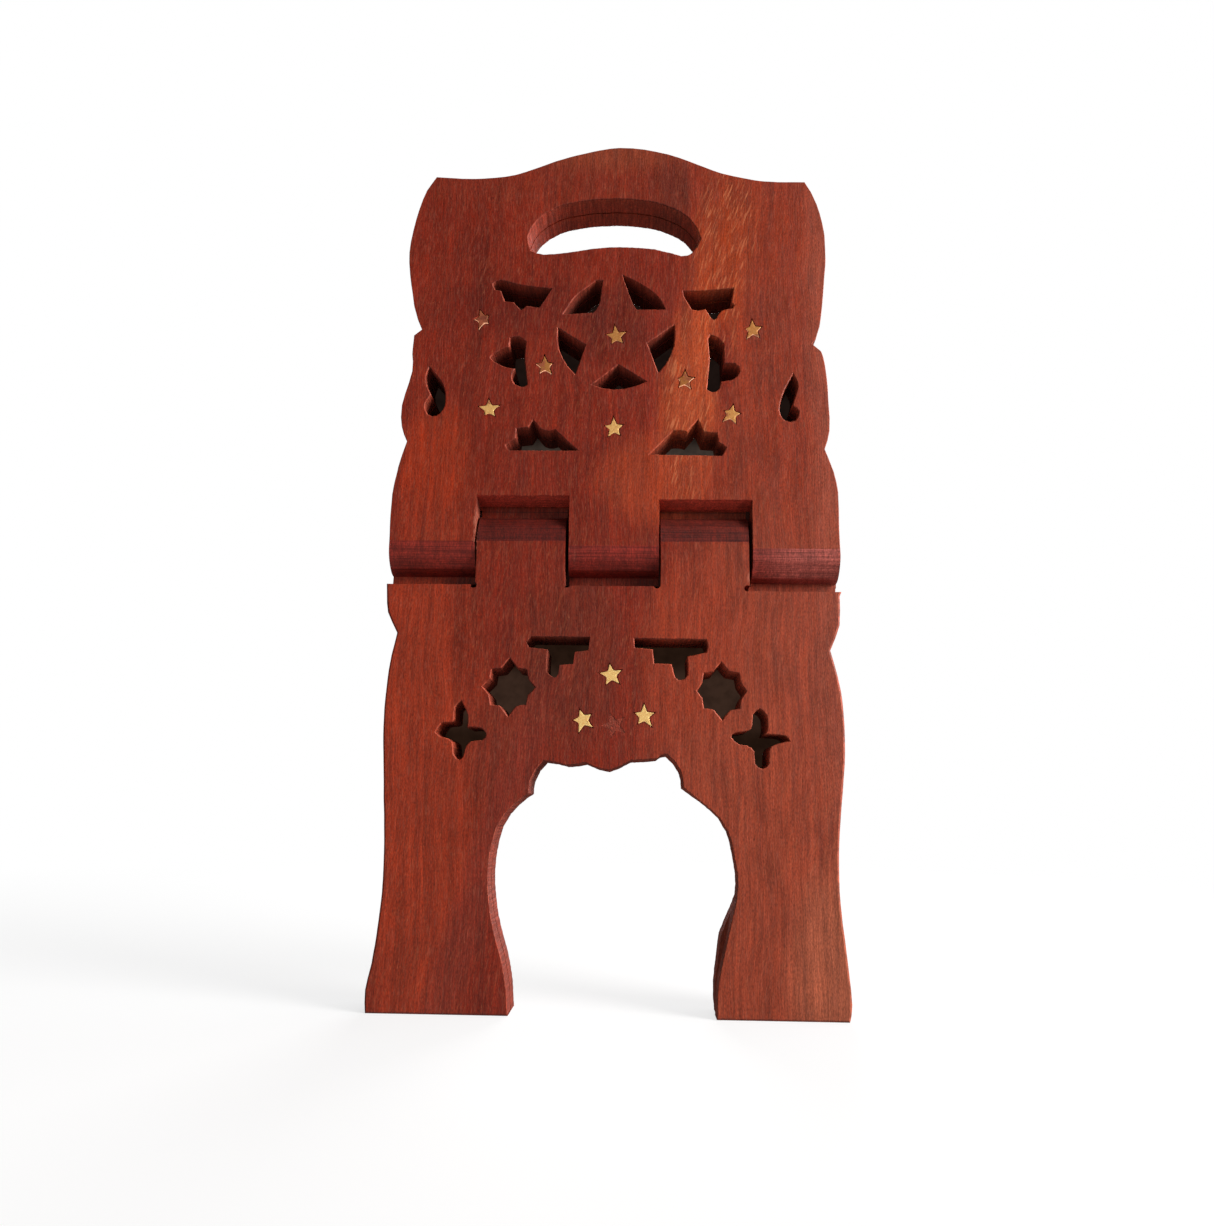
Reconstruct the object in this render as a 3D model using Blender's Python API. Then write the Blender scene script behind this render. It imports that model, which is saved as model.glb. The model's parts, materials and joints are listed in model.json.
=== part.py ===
"""A folding quran stand (rehal): two leaves sawn from one plank, crossing at a carved wooden hinge.

Millimetres are used throughout and turned into metres when a mesh is made. The stand is folded flat and
upright: X runs across it, Y from the front face to the rear face and Z up, from the soles of the feet.
"""

import math

import bmesh
import bpy
from mathutils import Vector

MM = 0.001

# The plank, and the saw cut that parts the two leaves.
HALF_THICK = 10.0
HALF_SPLIT = 0.4
HALF_WIDTH = 89.7

# The carved hinge. The axis runs along X through the middle of the plank.
AXIS_Z = 178.0
KNUCKLE_STEPS = 8
JOIN = 16.0
OVERLAP = 2.0
WALL_SLOPE = 2.1
FINGERS_A = ((-HALF_WIDTH, -55.2), (-17.7, 18.3), (55.5, HALF_WIDTH))
FINGERS_B = ((-54.3, -19.0), (19.0, 53.9))
# For each finger, how far past the axis its flat face runs on and how far its rounded end reaches.
ROUNDING_A = ((0.0, 12.5), (1.7, 12.5), (2.5, 14.5))
ROUNDING_B = ((0.0, 12.5), (0.0, 12.5))
# How far each clearance ends from the axis, for the three columns of leaf A and the two of leaf B.
REACH_AT_A = (17.9, 18.2, 20.0)
REACH_AT_B = (19.3, 17.7)
SAW_START_HOLES = ((-55.0, 160.0), (-18.0, 160.3), (17.5, 160.2), (53.0, 159.2))
SAW_START_RADIUS = 1.3

# The circle that five openings leave a wooden star standing in.
CIRCLE_CENTRE = Vector((0.2, 267.6))
CIRCLE_RADIUS = 24.5
CIRCLE_POINT = 13.6

# The eight-pointed openings.
DIAGONAL_REACH = 9.6
NOTCH_REACH = 8.0

# Brass inlays, cut by hand and sunk a little. One is lost, and its seat is almost filled with glue.
STAR_WAIST = 1.95
STAR_THICK = 1.0
STAR_GAP = 0.3
STAR_SINK = 0.1
EMPTY_SEAT_DEPTH = 0.15
# The centre and lean of each star, then its five points from the top one round to the left.
UPPER_STARS = (
    (-55.9, 274.6, 18, (4.7, 3.7, 5.1, 3.1, 3.0)),
    (0.2, 266.9, 7, (5.1, 4.3, 3.9, 4.2, 4.6)),
    (-29.2, 253.4, 3, (4.8, 4.0, 3.9, 4.6, 3.5)),
    (57.0, 269.6, 3, (4.7, 3.2, 4.8, 4.4, 4.0)),
    (28.7, 247.1, -2, (4.5, 2.9, 3.9, 4.4, 4.1)),
    (-51.7, 234.3, 3, (4.5, 4.5, 3.1, 4.0, 4.6)),
    (-0.2, 226.1, 3, (4.9, 3.9, 4.4, 4.0, 3.9)),
    (47.6, 232.2, -12, (4.4, 3.2, 4.8, 4.4, 3.8)),
)
LOWER_STARS = (
    (-0.1, 124.5, 8, (4.5, 4.6, 4.3, 4.6, 4.4)),
    (-10.7, 107.0, 18, (4.3, 3.9, 5.1, 4.6, 3.9)),
    (12.7, 108.8, 0, (4.7, 3.8, 3.9, 4.9, 4.2)),
)
LOST_STAR = (1.3, 105.2, 20, (4.4, 4.4, 4.4, 4.4, 4.4))


def corner(x, z):
    """A sharp point of an outline."""
    return (x, z, True)


def bend(x, z):
    """A point that a smooth stretch of an outline passes through."""
    return (x, z, False)


def spline_point(before, start, end, after, part):
    """The Catmull-Rom curve from start to end, at a fraction of the way."""
    ahead = 2 * start + (end - before) * part
    bulge = (2 * before - 5 * start + 4 * end - after) * part**2
    swing = (3 * start - before - 3 * end + after) * part**3
    return (ahead + bulge + swing) / 2


def trace(knots, step):
    """The points of a closed outline that starts at a corner. Stretches between corners are smooth curves."""
    loop = list(knots) + [knots[0]]
    points = []
    for index in range(len(knots)):
        start = Vector(loop[index][:2])
        end = Vector(loop[index + 1][:2])
        before = start * 2 - end
        after = end * 2 - start
        if not loop[index][2]:
            before = Vector(loop[index - 1][:2])
        if not loop[index + 1][2]:
            after = Vector(loop[index + 2][:2])
        straight = loop[index][2] and loop[index + 1][2]
        count = 1 if straight else max(2, round((end - start).length / step))
        points += [spline_point(before, start, end, after, part / count) for part in range(count)]
    return points


def new_object(name, points, faces):
    """An object from points in millimetres, with its faces turned outward."""
    mesh = bpy.data.meshes.new(name)
    mesh.from_pydata([Vector(point) * MM for point in points], [], faces)
    made = bmesh.new()
    made.from_mesh(mesh)
    bmesh.ops.recalc_face_normals(made, faces=made.faces)
    made.to_mesh(mesh)
    made.free()
    made_object = bpy.data.objects.new(name, mesh)
    bpy.context.scene.collection.objects.link(made_object)
    return made_object


def bridge(name, first, second):
    """A solid between two rings of points that match one to one."""
    count = len(first)
    sides = [(i, (i + 1) % count, count + (i + 1) % count, count + i) for i in range(count)]
    caps = [tuple(range(count)), tuple(range(count, 2 * count))]
    return new_object(name, list(first) + list(second), sides + caps)


def slab(name, outline, y_start, y_end):
    """A solid with the same (x, z) outline at two depths."""
    return bridge(name, [(x, y_start, z) for x, z in outline], [(x, y_end, z) for x, z in outline])


def combine(target, others, operation):
    """Joins or cuts target with others, which are used up."""
    for other in others:
        step = target.modifiers.new(operation.lower(), "BOOLEAN")
        step.operation = operation
        step.solver = "EXACT"
        step.object = other
        bpy.context.view_layer.objects.active = target
        bpy.ops.object.modifier_apply(modifier=step.name)
        bpy.data.objects.remove(other)


def gather(name, pieces):
    """One object that holds several separate closed pieces, to cut with in one go."""
    made = bmesh.new()
    for piece in pieces:
        made.from_mesh(piece.data)
        bpy.data.objects.remove(piece)
    mesh = bpy.data.meshes.new(name)
    made.to_mesh(mesh)
    made.free()
    gathered = bpy.data.objects.new(name, mesh)
    bpy.context.scene.collection.objects.link(gathered)
    return gathered


# The plank's silhouette


def upper_left_side():
    """Down the left side, from the shoulder to the hinge."""
    return [
        corner(-78.6, 342.2),
        bend(-84.3, 331),
        bend(-88.6, 306),
        bend(-85.2, 281),
        corner(-81.4, 270),
        corner(-84.6, 267.2),
        bend(-84.8, 259),
        bend(-84.4, 251),
        bend(-87.9, 236),
        bend(-87.4, 226.5),
        corner(-84.9, 220),
        bend(-87.9, 209),
        corner(-HALF_WIDTH, 197.5),
    ]


def upper_right_side():
    """Up the right side, from the hinge to the shoulder."""
    return [
        corner(HALF_WIDTH, 199),
        bend(88.4, 207.5),
        corner(85, 217.2),
        bend(87.3, 225),
        bend(87.3, 237),
        bend(86.4, 254),
        corner(85, 260),
        corner(81.4, 263.3),
        bend(84.7, 271),
        bend(88.3, 307),
        bend(85.3, 328),
        corner(80.4, 338.8),
    ]


def crest():
    """The wavy top, from right to left."""
    return [
        bend(63, 339.3),
        bend(45, 343.3),
        bend(22, 352.6),
        bend(1, 356),
        bend(-22, 351.2),
        bend(-44, 343.2),
        bend(-62, 341.3),
    ]


def lower_right_side():
    """Down the right side, from the hinge to the foot."""
    return [
        corner(89, 156.5),
        bend(88.5, 145),
        corner(84.5, 135),
        bend(88.1, 119),
        bend(88.8, 96),
        bend(85.9, 68),
        bend(84.9, 45),
        bend(87.2, 18),
        bend(88, 6),
        corner(87, 0),
    ]


def lower_left_side():
    """Up the left side, from the foot to the hinge."""
    return [
        corner(-88, 0),
        bend(-88.4, 8),
        bend(-85.9, 23),
        bend(-84.3, 47),
        bend(-85.4, 71),
        bend(-87.6, 104),
        bend(-86.8, 126),
        corner(-84.4, 140.5),
        bend(-88.5, 148.5),
        corner(-89.5, 156.5),
    ]


def arch_top():
    """The scalloped head of the opening between the legs, from right to left."""
    return [
        corner(27.6, 82),
        bend(26.6, 88.5),
        bend(21.5, 94.4),
        corner(17.5, 92.8),
        corner(7.5, 91.9),
        bend(-0.6, 88.2),
        corner(-9.6, 91),
        bend(-17, 89.9),
        bend(-25.5, 91.5),
        bend(-30.2, 84.5),
        corner(-30.6, 79.1),
    ]


def arch_left():
    """Down the inner side of the left leg."""
    return [
        bend(-36.2, 75),
        bend(-42.4, 66.5),
        bend(-45.1, 50),
        bend(-42.9, 32.6),
        bend(-37.8, 15),
        corner(-36, 0),
    ]


def arch_right_front():
    """Up the inner side of the right leg, in the front leaf."""
    return [
        corner(39.5, 0),
        bend(40.2, 13),
        bend(44.6, 32),
        bend(47.6, 47),
        bend(44.3, 66),
        bend(37.5, 74.3),
    ]


def arch_right_rear():
    """Up the inner side of the right leg, in the rear leaf, where the saw wandered."""
    return [
        corner(40, 0),
        bend(39.6, 10),
        corner(42, 28),
        bend(49.4, 47),
        bend(46, 66),
        bend(38, 74.8),
    ]


# The two edges of a leaf at the hinge


def hinge_edge(fingers, reaches, side, slope):
    """From left to right along a panel's hinge edge. Side is 1 for the upper panel and -1 for the lower."""
    join = AXIS_Z + side * (JOIN - OVERLAP)
    edges = [AXIS_Z + side * (reach - slope) for reach in reaches]
    points = []
    if fingers is FINGERS_B:
        points.append(corner(-HALF_WIDTH, edges[0]))
        edges = edges[1:]
    for index, (left, right) in enumerate(fingers):
        if points:
            points.append(corner(left, points[-1][1]))
        points += [corner(left, join), corner(right, join)]
        if index < len(edges):
            points.append(corner(right, edges[index]))
    if fingers is FINGERS_B:
        points.append(corner(HALF_WIDTH, edges[-1]))
    return points


def upper_panel(name, fingers, reaches, outer_y, inner_y):
    """The upper half of a leaf, with its hinge fingers."""
    rings = []
    for y, slope in ((outer_y, 0), (inner_y, WALL_SLOPE)):
        edge = hinge_edge(fingers, reaches, 1, slope)
        outline = trace(upper_left_side() + edge + upper_right_side() + crest(), 5.0)
        rings.append([(x, y, z) for x, z in outline])
    return bridge(name, *rings)


def lower_panel(name, fingers, reaches, outer_y, inner_y, arch_right):
    """The lower half of a leaf: a panel that stands on two legs."""
    rings = []
    for y, slope in ((outer_y, 0), (inner_y, WALL_SLOPE)):
        edge = hinge_edge(fingers, reaches, -1, slope)
        arch = arch_right + arch_top() + arch_left()
        outline = trace(edge + lower_right_side() + arch + lower_left_side(), 5.0)
        rings.append([(x, y, z) for x, z in outline])
    return bridge(name, *rings)


def knuckle(finger, rounding, side):
    """The rounded middle of a finger. Side is 1 for leaf A, whose upper panel is in front."""
    left, right = finger
    flat, reach = rounding
    inner = HALF_SPLIT
    deep = HALF_THICK + HALF_SPLIT
    profile = [(-HALF_THICK, JOIN)]
    for step in range(KNUCKLE_STEPS + 1):
        angle = math.pi / 2 * step / KNUCKLE_STEPS
        drop = flat + (reach - flat) * math.sin(angle)
        profile.append((inner - deep * math.cos(angle), -drop))
    profile.append((inner, -JOIN))
    profile += [(-y, -z) for y, z in profile]
    rings = [[(x, side * y, AXIS_Z + z) for y, z in profile] for x in (left, right)]
    return bridge("knuckle", *rings)


# Fretwork, sawn right through the plank


def handle():
    return [
        corner(-36.4, 306.6),
        bend(-37.9, 313),
        bend(-34.5, 320.8),
        bend(-25.5, 327.4),
        bend(-12, 330.4),
        bend(4, 331),
        bend(19, 328.4),
        bend(30.5, 321.9),
        bend(35.7, 312),
        corner(31.5, 304.8),
        bend(27.5, 303.9),
        bend(16, 307.1),
        bend(-4, 308),
        bend(-20, 305.8),
        bend(-31, 304.7),
    ]


def flower_left():
    return [
        corner(-51, 288.3),
        bend(-52.1, 290.8),
        bend(-48.9, 292.6),
        bend(-40, 290.2),
        corner(-27.3, 288.7),
        corner(-32.3, 280),
        corner(-37.8, 280.9),
        bend(-40, 279.1),
        corner(-43, 282.5),
        corner(-46.9, 283),
        corner(-48.6, 287.8),
    ]


def flower_right():
    return [
        corner(28.2, 287.3),
        bend(38, 287.6),
        corner(49.2, 288.6),
        corner(48.1, 282),
        corner(49.4, 280.9),
        corner(48.8, 279.5),
        bend(44.2, 278.4),
        bend(41, 274.2),
        corner(37.6, 279.2),
        bend(34.2, 278.6),
        corner(31.8, 279.1),
        corner(28.6, 285),
    ]


def on_circle(radius, degrees):
    """A point round the middle of the circle of openings."""
    angle = math.radians(degrees)
    return CIRCLE_CENTRE + radius * Vector((math.cos(angle), math.sin(angle)))


def circle_segment(middle):
    """One of the three lower openings of the circle: an arc and a point towards the middle."""
    arc = [on_circle(CIRCLE_RADIUS, middle + turn) for turn in (27, 16, 5, -5, -16, -27)]
    return arc + [on_circle(CIRCLE_POINT, middle)]


def circle_upper_left():
    return [
        corner(-22, 277),
        corner(-9.6, 277.6),
        bend(-7.2, 281.5),
        corner(-5.9, 292.2),
        corner(-8.6, 292.4),
        bend(-17, 285),
    ]


def circle_upper_right():
    return [
        corner(2.7, 295),
        bend(9, 291.7),
        bend(15, 287.6),
        bend(18.6, 283.8),
        corner(20.8, 279),
        corner(9, 278.9),
        bend(7.5, 280.6),
        bend(3.6, 291.5),
    ]


def half_cross_left():
    return [
        corner(-44, 266),
        bend(-40.5, 266.6),
        corner(-37.4, 264.3),
        bend(-37.7, 256),
        corner(-36.2, 245.2),
        bend(-38, 244.2),
        bend(-41.4, 245.3),
        bend(-42.8, 249),
        corner(-41.6, 252.4),
        bend(-46.5, 253.3),
        bend(-51.9, 257.2),
        bend(-48, 260.6),
        corner(-44.2, 262),
    ]


def half_cross_right():
    return [
        corner(39.4, 267.4),
        bend(42.4, 266),
        corner(44.8, 263.3),
        corner(45, 254.5),
        bend(49.5, 254.4),
        bend(51.4, 251.3),
        bend(48.8, 247.7),
        corner(43.6, 246.7),
        bend(42.9, 243.4),
        bend(40.2, 242),
        corner(37.8, 243),
        bend(39, 256),
        corner(38.4, 265.6),
    ]


def drop_left():
    return [
        corner(-77.3, 252.8),
        bend(-78.6, 248.5),
        bend(-77.6, 243.8),
        corner(-76, 240.8),
        bend(-78.4, 236),
        bend(-76.8, 232),
        bend(-73.3, 231.4),
        bend(-70.1, 236),
        bend(-71.3, 245),
    ]


def drop_right():
    return [
        corner(73.2, 249.8),
        bend(74.9, 244.5),
        corner(72.6, 236.2),
        bend(75.1, 233.4),
        bend(73.5, 229.5),
        bend(69.5, 229.5),
        bend(67.3, 234),
        bend(69.2, 242),
    ]


def crown_left():
    return [
        corner(-42.8, 216.4),
        bend(-44.1, 218.6),
        corner(-40.1, 221.6),
        corner(-40.1, 225.7),
        corner(-35.2, 226.3),
        corner(-33.3, 229.5),
        bend(-30, 225.6),
        bend(-27, 224.7),
        corner(-24.3, 225.4),
        corner(-15, 216.4),
    ]


def crown_right():
    return [
        corner(14.6, 214.8),
        corner(23.8, 224.9),
        bend(26.5, 225.2),
        corner(29.5, 224.5),
        corner(34, 229.8),
        corner(36.3, 224.4),
        corner(41.7, 224.1),
        corner(42.2, 220),
        bend(45.4, 217.8),
        corner(43.4, 214.3),
    ]


def tee_left():
    return [
        corner(-33.4, 137.4),
        corner(-31.6, 139.4),
        corner(-8.4, 139.4),
        corner(-9.1, 134.1),
        corner(-14.3, 133.4),
        corner(-14.9, 128.7),
        corner(-20.2, 128.2),
        bend(-20.6, 124.6),
        bend(-22.3, 123.2),
        corner(-25.2, 125.6),
        corner(-25, 134.3),
        corner(-32.4, 135.2),
    ]


def tee_right():
    return [
        corner(8.7, 138.9),
        corner(36.7, 138.7),
        bend(37.2, 136.4),
        corner(36.7, 133.8),
        corner(29.3, 132),
        bend(29.4, 125),
        bend(27, 122.8),
        bend(24.6, 124),
        corner(23.3, 129),
        corner(16.6, 129.3),
        corner(15.9, 134.8),
        corner(8.9, 135.3),
    ]


def eight_point_star(centre_x, centre_z, sideways, upright):
    """Eight points, of which the four that lie across and upright are longer."""
    reaches = []
    for reach in (sideways, DIAGONAL_REACH, upright, DIAGONAL_REACH) * 2:
        reaches += [reach, NOTCH_REACH]
    points = []
    for index, reach in enumerate(reaches):
        angle = math.pi / 8 * index
        points.append((centre_x + reach * math.cos(angle), centre_z + reach * math.sin(angle)))
    return points


def cross_left():
    return [
        corner(-57.75, 113.9),
        bend(-60.1, 111.4),
        bend(-60.3, 106.8),
        bend(-61.6, 105.5),
        bend(-65.2, 105.1),
        corner(-67.3, 101.8),
        bend(-65.5, 100.2),
        bend(-62.8, 99.7),
        bend(-60.4, 98.1),
        bend(-59.8, 93.6),
        bend(-57.7, 91.5),
        bend(-56.1, 92.8),
        bend(-55.3, 96.6),
        bend(-53.2, 98.5),
        bend(-49, 99.1),
        bend(-47.7, 100.8),
        bend(-48.6, 102.8),
        bend(-51.5, 103.9),
        corner(-55.2, 103.7),
        bend(-55.1, 108.5),
    ]


def cross_right():
    return [
        corner(57, 112.1),
        bend(54.3, 110),
        bend(53.8, 105.6),
        bend(52.2, 103.7),
        bend(47.4, 102.9),
        bend(45.8, 101.1),
        bend(48.7, 98.5),
        bend(51.8, 98.1),
        bend(54.5, 96),
        bend(54.8, 91.2),
        bend(57.5, 89.4),
        bend(60, 91.3),
        bend(60.2, 96.2),
        bend(62.4, 98.5),
        corner(68, 99.8),
        bend(66.2, 101.9),
        corner(58.7, 102.5),
        bend(59.7, 104),
        bend(59.5, 109.6),
    ]


def upper_fretwork():
    drawn = (flower_left, flower_right, half_cross_left, half_cross_right, drop_left, drop_right)
    drawn += (crown_left, crown_right, circle_upper_left, circle_upper_right)
    outlines = [trace(handle(), 5.0)]
    outlines += [trace(shape(), 2.0) for shape in drawn]
    outlines += [circle_segment(middle) for middle in (200, 274, 343)]
    return outlines


def lower_fretwork():
    outlines = [trace(shape(), 2.0) for shape in (tee_left, tee_right, cross_left, cross_right)]
    outlines.append(eight_point_star(-39.6, 119.5, 10.2, 11.3))
    outlines.append(eight_point_star(42.4, 118.8, 9.5, 11.1))
    return outlines


# Inlays


def star_outline(place):
    """A five-pointed star that stands on two points, a little uneven from its cutting."""
    centre_x, centre_z, lean, reaches = place
    points = []
    for index in range(10):
        angle = math.radians(90 + lean + 36 * index)
        reach = STAR_WAIST if index % 2 else reaches[index // 2]
        points.append((centre_x + reach * math.cos(angle), centre_z + reach * math.sin(angle)))
    return points


def widened(outline, gap):
    """An outline that runs round to the left, with each of its sides moved out by gap."""
    moved = []
    for index in range(len(outline)):
        here = Vector(outline[index])
        along = (here - Vector(outline[index - 1])).normalized()
        onward = (Vector(outline[(index + 1) % len(outline)]) - here).normalized()
        outward = Vector((along.y + onward.y, -along.x - onward.x))
        moved.append(here + outward * gap / (1 + along.dot(onward)))
    return moved


def star_seat(place, face, depth):
    """The cutter for an inlay's seat. Face is -1 for the front of the plank and 1 for the rear."""
    outline = widened(star_outline(place), STAR_GAP)
    return slab("seat", outline, face * (HALF_THICK - depth), face * (HALF_THICK + OVERLAP))


def star(name, place, face):
    outer = face * (HALF_THICK - STAR_SINK)
    inner = face * (HALF_THICK - STAR_SINK - STAR_THICK)
    return slab(name, star_outline(place), inner, outer)


def cutters(face, stars_above, stars_below):
    """Everything that is cut out of the leaf whose upper panel is on this face."""
    seat = STAR_SINK + STAR_THICK + STAR_GAP
    through = HALF_THICK + OVERLAP
    outlines = upper_fretwork() + lower_fretwork()
    pieces = [slab("opening", outline, -through, through) for outline in outlines]
    for x, z in SAW_START_HOLES:
        turns = [math.pi / 6 * step for step in range(12)]
        ring = [(x + SAW_START_RADIUS * math.cos(a), z + SAW_START_RADIUS * math.sin(a)) for a in turns]
        pieces.append(slab("hole", ring, -through, through))
    pieces += [star_seat(place, face, seat) for place in stars_above]
    pieces += [star_seat(place, -face, seat) for place in stars_below]
    return pieces


def leaf(name, fingers, rounding, reaches, face, arch_right, cuts):
    """One leaf: an upper panel on its face of the plank, knuckles, and legs on the other face."""
    outer = face * HALF_THICK
    inner = face * HALF_SPLIT
    body = upper_panel(name, fingers, reaches, outer, inner)
    legs = lower_panel("legs", fingers, reaches, -outer, -inner, arch_right)
    knuckles = [knuckle(finger, ends, -face) for finger, ends in zip(fingers, rounding)]
    combine(body, knuckles, "UNION")
    combine(body, [legs], "UNION")
    combine(body, [gather("cuts", cuts)], "DIFFERENCE")
    return body


def main():
    for old in list(bpy.data.objects):
        bpy.data.objects.remove(old)
    lower_rear_stars = LOWER_STARS + (LOST_STAR,)
    cuts_a = cutters(-1, UPPER_STARS, lower_rear_stars)
    cuts_b = cutters(1, UPPER_STARS, LOWER_STARS)
    cuts_b.append(star_seat(LOST_STAR, -1, EMPTY_SEAT_DEPTH))
    leaf("leaf_a", FINGERS_A, ROUNDING_A, REACH_AT_B, -1, arch_right_rear(), cuts_a)
    leaf("leaf_b", FINGERS_B, ROUNDING_B, REACH_AT_A, 1, arch_right_front(), cuts_b)
    for number, place in enumerate(UPPER_STARS + LOWER_STARS, 1):
        star(f"front_star_{number}", place, -1)
    for number, place in enumerate(UPPER_STARS + lower_rear_stars, 1):
        star(f"rear_star_{number}", place, 1)


main()
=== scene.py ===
"""The looks of the folding quran stand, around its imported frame.

The two leaves are carved anew along the outlines of the CAD, with worn rims, saw marks and planed knuckles.
The brass stars stay as they are. The wood and the brass are procedural. Lengths are in metres, mostly
written as millimetres times MM.
"""

import json
import math

import bmesh
import bpy
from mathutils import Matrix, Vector, geometry, noise

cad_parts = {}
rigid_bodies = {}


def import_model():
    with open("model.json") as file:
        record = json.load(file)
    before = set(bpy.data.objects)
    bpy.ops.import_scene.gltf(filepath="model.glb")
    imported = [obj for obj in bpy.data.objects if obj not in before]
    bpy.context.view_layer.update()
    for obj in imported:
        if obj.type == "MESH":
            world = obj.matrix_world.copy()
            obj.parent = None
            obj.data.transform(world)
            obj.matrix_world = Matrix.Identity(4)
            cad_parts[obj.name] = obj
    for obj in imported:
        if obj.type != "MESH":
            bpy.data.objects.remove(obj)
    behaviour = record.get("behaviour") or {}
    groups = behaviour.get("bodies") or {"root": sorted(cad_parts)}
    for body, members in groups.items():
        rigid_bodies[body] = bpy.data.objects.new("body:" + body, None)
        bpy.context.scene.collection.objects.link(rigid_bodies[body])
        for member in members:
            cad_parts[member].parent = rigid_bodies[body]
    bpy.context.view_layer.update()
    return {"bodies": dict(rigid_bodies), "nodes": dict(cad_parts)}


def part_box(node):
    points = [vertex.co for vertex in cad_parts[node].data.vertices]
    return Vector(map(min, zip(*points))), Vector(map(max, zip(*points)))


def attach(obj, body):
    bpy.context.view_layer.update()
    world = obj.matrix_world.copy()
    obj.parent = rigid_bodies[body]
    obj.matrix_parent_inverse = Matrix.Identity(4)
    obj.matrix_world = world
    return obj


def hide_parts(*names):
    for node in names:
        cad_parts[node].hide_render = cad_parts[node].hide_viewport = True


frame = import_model()

MM = 0.001
AXIS_Z = 178.0 * MM
HALF_THICK = 10.0 * MM
HALF_SPLIT = 0.4 * MM
HINGE_REACH = 21.0 * MM
HINGE_HALF_WIDE = 87.0 * MM
WINDOW_TOP = 197.0 * MM
TORN_SIDE = -54.9 * MM
TORN_SIDE_Z = 181.0 * MM
# The outer edge of the plank lies beyond this distance from the middle, and the fretwork within it.
FRETWORK_HALF_WIDE = 80.0 * MM
HANDLE_TOP = 336.0 * MM
SAW_START_HOLES = ((-55.0, 160.0), (-18.0, 160.3), (17.5, 160.2), (53.0, 159.2))
LEVELS = (-HALF_THICK, -HALF_SPLIT, HALF_SPLIT, HALF_THICK)
# For each column of fingers, how far past the axis the flat face runs on and how far the rounded end reaches.
ROUNDING = {
    "leaf_a": ((0.0, 12.5), (1.7, 12.5), (2.5, 14.5)),
    "leaf_b": ((0.0, 12.5), (0.0, 12.5), (0.0, 12.5)),
}
PLANED, SAWN, KNUCKLE, WORN, GLUE = range(5)
# How far the rims are worn away, and how long a piece of rim is between two saw marks.
OUTER_WEAR = 0.8 * MM
FRETWORK_WEAR = 0.4 * MM
RIM_STEP = 0.5 * MM
MOST_OUTLINES = 90
FINGER_PITCH = 36.0 * MM
# How far a rim wanders: slowly everywhere, finely in the fretwork, and where the chisel tore it.
DRIFT_SEED = 7
SLOW_DRIFT = 0.16 * MM
FINE_DRIFT = 0.12 * MM
TOP_TEAR = 1.0 * MM
SIDE_TEAR = 1.2 * MM
SMOOTH_ANGLE = math.radians(32)
# Light: the strength of the room, the floor's bounce, the lamps in watts and the white share of the floor.
ROOM_DIM = 0.06
ROOM_GLOW = 1.2
FLOOR_BOUNCE = 0.62
KEY_POWER = 16.0
FILL_POWER = 0.6
BACK_POWER = 11.0
FLOOR_LIFT = 0.72
CARD_GAP = 0.5 * MM
CARD_CLEARANCE = 0.8 * MM


# Geometry of the leaves


def on_plane(vert, level):
    return abs(vert.co.y - level) < 1e-6


def is_broad(face):
    """One of the planed faces of the plank, which lie on four levels."""
    if abs(face.normal.y) < 0.999:
        return False
    return any(all(on_plane(vert, level) for vert in face.verts) for level in LEVELS)


def depth_of(face):
    """How far the face runs through the thickness of the plank."""
    ys = [vert.co.y for vert in face.verts]
    return max(ys) - min(ys)


def is_wall(face):
    """A sawn side, which runs through most of a leaf."""
    return abs(face.normal.y) < 0.5 and depth_of(face) > 5 * MM


def is_knuckle(face):
    """A strip of the rounded end of a finger."""
    centre = face.calc_center_median()
    around = abs(face.normal.x) < 0.1 and abs(centre.z - AXIS_Z) < 14.6 * MM
    inner = all(abs(vert.co.y) > HALF_SPLIT - 1e-6 or abs(vert.co.y) < HALF_SPLIT for vert in face.verts)
    return around and inner and 0.02 < abs(face.normal.z) and 0.1 * MM < depth_of(face) < 5 * MM


def is_window_end(face):
    """The chiselled top or foot of a window that a finger turns in."""
    height = abs(face.calc_center_median().z - AXIS_Z)
    return abs(face.normal.z) > 0.7 and 14.8 * MM < height < HINGE_REACH


def is_seat(face):
    """A side or the floor of the shallow seat of an inlay."""
    depths = [abs(vert.co.y) for vert in face.verts]
    return 8 * MM < min(depths) < 9.5 * MM and not is_broad(face) and max(depths) - min(depths) < 2 * MM


def in_openings(point):
    """True on the fretwork and the arch, false on the sanded outer edge of the plank."""
    return abs(point.x) < FRETWORK_HALF_WIDE and 1 * MM < point.z < HANDLE_TOP


def at_saw_start(point, reach):
    """Near one of the four small holes at the feet of the windows."""
    return any(math.hypot(point.x - x * MM, point.z - z * MM) < reach for x, z in SAW_START_HOLES)


def sharp_rims(mesh, sawn):
    """The edges where an outer face still meets a wall squarely. The hinge keeps its sharp edges."""
    rims = []
    for edge in mesh.edges:
        faces = edge.link_faces
        middle = (edge.verts[0].co + edge.verts[1].co) / 2
        at_hinge = abs(middle.z - AXIS_Z) < HINGE_REACH and abs(middle.x) < HINGE_HALF_WIDE
        if len(faces) != 2 or abs(middle.y) < HALF_THICK - 1e-5 or at_hinge:
            continue
        if any(map(is_broad, faces)) and any(map(is_wall, faces)) and in_openings(middle) == sawn:
            rims.append(edge)
    return rims


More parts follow.
